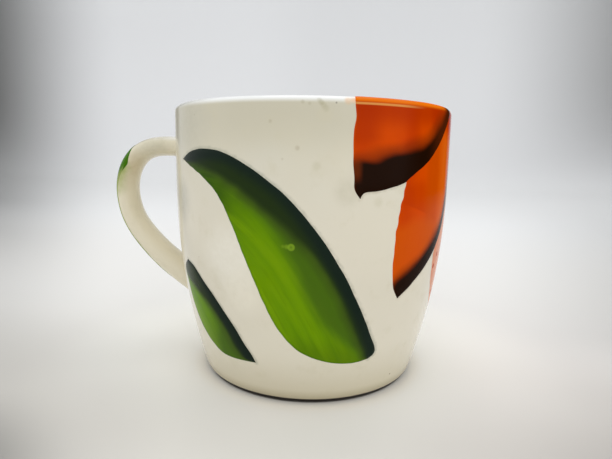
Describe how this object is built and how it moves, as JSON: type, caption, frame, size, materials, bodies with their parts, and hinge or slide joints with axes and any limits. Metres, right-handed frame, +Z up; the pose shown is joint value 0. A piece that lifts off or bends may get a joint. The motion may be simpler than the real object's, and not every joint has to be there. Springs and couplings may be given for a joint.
{
  "type": "tea mug",
  "caption": "Glazed ceramic mug of tea with a loop handle and a bare clay foot, painted with brush-stroke leaves and with petals that hang from the lip.",
  "frame": {"origin": "on the mug's axis, at the level of the table that the foot stands on", "axes": "+Z up along the mug's axis; the handle stands out along -X; -Y faces the viewer, between the handle and the petals"},
  "size_m": [0.1159, 0.0888, 0.0852],
  "materials": {
    "cream_glaze": "gloss",
    "bare_clay": "matte",
    "tea": "gloss",
    "leaf_paint": "gloss",
    "petal_paint": "gloss"
  },
  "bodies": {
    "root": {"mug_body": "cream_glaze", "foot_ring": "bare_clay", "handle": "cream_glaze", "upper_slip_joint": "cream_glaze", "lower_slip_joint": "cream_glaze", "tea": "tea", "large_leaf": "leaf_paint", "small_leaf": "leaf_paint", "upper_petal": "petal_paint", "middle_petal": "petal_paint", "end_petal": "petal_paint", "handle_stroke": "leaf_paint", "far_large_leaf": "leaf_paint", "far_small_leaf": "leaf_paint", "far_upper_petal": "petal_paint", "far_middle_petal": "petal_paint"}
  },
  "joints": []
}
